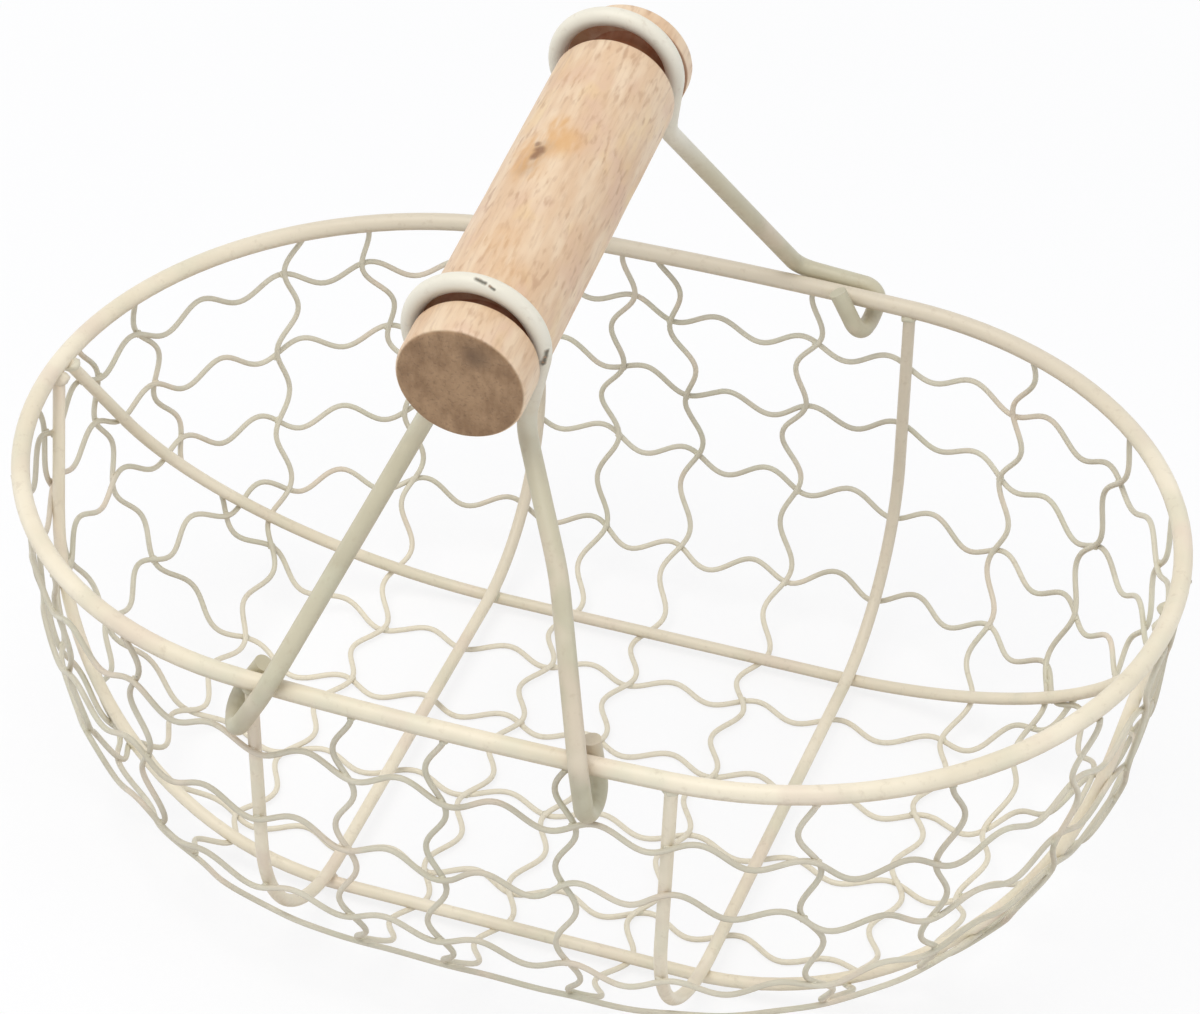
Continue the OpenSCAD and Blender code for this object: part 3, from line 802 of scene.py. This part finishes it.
# The grip: a turned profile, a little uneven, with small knocks on its edges
def gripOutline():
    s = gripShape
    r, edge = s["radius"], s["edge"]
    points = [(r * k / 14, s["front"] + 0.00012 * (1 - k / 14)) for k in range(14)]

    def corner(x, z, start):
        for k in range(9):
            t = math.radians(start + 90 * k / 8)
            points.append((x + edge * math.cos(t), z + edge * math.sin(t)))

    def run(low, high, radius, step=0.0016):
        count = max(2, round((high - low) / step))
        for k in range(count + 1):
            points.append((radius, low + (high - low) * k / count))

    def groove(low, high, bottom):
        points.append((r - 0.0001, low - 0.00005))
        points.append((r - 0.0003, low))
        points.append((bottom + 0.0006, low))
        run(low + 0.0006, high - 0.0006, bottom)
        points.append((bottom + 0.0006, high))
        points.append((r - 0.0003, high))
        points.append((r - 0.0001, high + 0.00005))

    points.pop()
    corner(r - edge, s["front"] + edge, -90)
    run(s["front"] + edge + 0.0002, s["frontGroove"][0] - 0.0003, r)
    groove(*s["frontGroove"])
    run(s["frontGroove"][1] + 0.0003, s["backGroove"][0] - 0.0003, r)
    groove(*s["backGroove"])
    run(s["backGroove"][1] + 0.0003, s["back"] - edge - 0.0002, r)
    corner(r - edge, s["back"] - edge, 0)
    points.extend((r * k / 14, s["back"] - 0.00012 * (1 - k / 14)) for k in range(12, -1, -1))
    return points


def turnedGrip():
    outline = gripOutline()
    around = gripShape["around"]
    bm = bmesh.new()
    loops = []
    for x, z in outline:
        if x == 0:
            loops.append([bm.verts.new((0, 0, z))])
            continue
        loop = []
        for k in range(around):
            angle = 2 * math.pi * k / around
            out = Vector((math.cos(angle), math.sin(angle), 0))
            dent = noise.noise(Vector((out.x * 2.1, out.y * 2.1, z * 55))) * 0.00007
            dent += noise.noise(Vector((out.x * 9, out.y * 9, z * 900))) * 0.00002
            radius = x * (1 - (abs(dent) + dent * 0.5) / gripShape["radius"])
            loop.append(bm.verts.new(out * radius + Vector((0, 0, z))))
        loops.append(loop)
    for here, there in zip(loops, loops[1:]):
        for k in range(around):
            a, b = here[k % len(here)], here[(k + 1) % len(here)]
            c, d = there[(k + 1) % len(there)], there[k % len(there)]
            bm.faces.new([v for v in dict.fromkeys((a, b, c, d))])
    bm.normal_update()
    return meshObject("turned_grip", bm)


grip = turnedGrip()
grip.matrix_world = gripMatrix()
settle(grip, "grip", "grip_wood", gripWood, "grip")
print("grip made")

# Stage: a pale floor that meets a white background, keeping a soft shadow under the basket
studio = {
    "floorSize": 6.0,
    "floorColour": rgb(246, 246, 246),
    "skyColour": rgb(238, 243, 255),
    "skyStrength": 0.6,
    "keepShadow": 0.22,       # how much of the floor's own shading the camera sees near the basket
    "shadowNear": 0.25,       # distances between which the floor turns to plain white, metres
    "shadowFar": 0.60,
    "lampTint": (1.0, 0.965, 0.91),
    "lamps": {                # place, size and power
        "overheadSoftbox": ((-0.18, -0.28, 1.20), 1.1, 8.2),
        "frontFill": ((0.75, -1.35, 0.75), 0.9, 0.8),
        "backRim": ((0.30, 1.30, 0.95), 0.8, 0.8),
        "rightFill": ((1.45, -0.20, 0.65), 0.9, 3.3),
        "leftFill": ((-1.50, 0.10, 0.65), 0.9, 2.4),
    },
}


def floorLook():
    g = Graph(bpy.data.materials.new("paleFloor"))
    lit = g.node("BsdfDiffuse", None, {"Color": studio["floorColour"]})
    white = g.node("Emission", None, {"Strength": 1.0})
    away = g.node("VectorMath", {"operation": "LENGTH"}, {0: g.place()}, out=1)
    near = g.between(away, studio["shadowFar"], studio["shadowNear"])
    share = g.seen() * (1 - near * studio["keepShadow"])
    return g.finish(g.node("MixShader", None, {0: share, 1: lit, 2: white}))


def skyLook():
    g = Graph(bpy.data.worlds.new("studioWorld"))
    soft = g.node("Background", None, {"Color": studio["skyColour"], "Strength": studio["skyStrength"]})
    white = g.node("Background", None, {"Color": (1, 1, 1, 1), "Strength": 1.0})
    return g.finish(g.node("MixShader", None, {0: g.seen(), 1: soft, 2: white}), "OutputWorld")


def makeStage():
    bm = bmesh.new()
    bmesh.ops.create_grid(bm, x_segments=1, y_segments=1, size=studio["floorSize"] / 2)
    floor = meshObject("studio_floor", bm, smooth=False)
    floor.location.z = -0.00005
    floor.data.materials.append(floorLook())
    bpy.context.scene.world = skyLook()
    for name, (place, size, power) in studio["lamps"].items():
        data = bpy.data.lights.new(name, "AREA")
        data.shape = "DISK"
        data.size = size
        data.energy = power
        data.color = studio["lampTint"]
        lamp = bpy.data.objects.new(name, data)
        lamp.location = place
        lamp.rotation_euler = (Vector((0, 0, 0.06)) - lamp.location).to_track_quat("-Z", "Y").to_euler()
        bpy.context.scene.collection.objects.link(lamp)


makeStage()

# Camera: the photograph's viewing angle, distance and lens
shot = {
    "azimuth": math.radians(19.14),
    "elevation": math.radians(38.41),
    "roll": math.radians(0.51),
    "distance": 0.8545,
    "target": Vector((0.0012, 0, 0.08074)),
    "sensor": 36.0,
    "focalPixels": 4017.0,
    "imageWidth": 1200.0,
}


def makeCamera():
    data = bpy.data.cameras.new("photoCamera")
    data.sensor_fit = "HORIZONTAL"
    data.sensor_width = shot["sensor"]
    data.lens = shot["focalPixels"] * shot["sensor"] / shot["imageWidth"]
    data.clip_start, data.clip_end = 0.05, 20
    camera = bpy.data.objects.new("photoCamera", data)
    bpy.context.scene.collection.objects.link(camera)
    azimuth, elevation, roll = shot["azimuth"], shot["elevation"], shot["roll"]
    back = Vector((math.sin(azimuth) * math.cos(elevation), -math.cos(azimuth) * math.cos(elevation),
                   math.sin(elevation)))
    right = (-back).cross(Vector((0, 0, 1))).normalized()
    up = right.cross(-back)
    rolledRight = right * math.cos(roll) + up * math.sin(roll)
    rolledUp = up * math.cos(roll) - right * math.sin(roll)
    turn = Matrix((rolledRight, rolledUp, back)).transposed().to_4x4()
    camera.matrix_world = Matrix.Translation(shot["target"] + back * shot["distance"]) @ turn
    bpy.context.scene.camera = camera


makeCamera()
bpy.context.scene.view_settings.view_transform = "Standard"
print("stage and camera made")
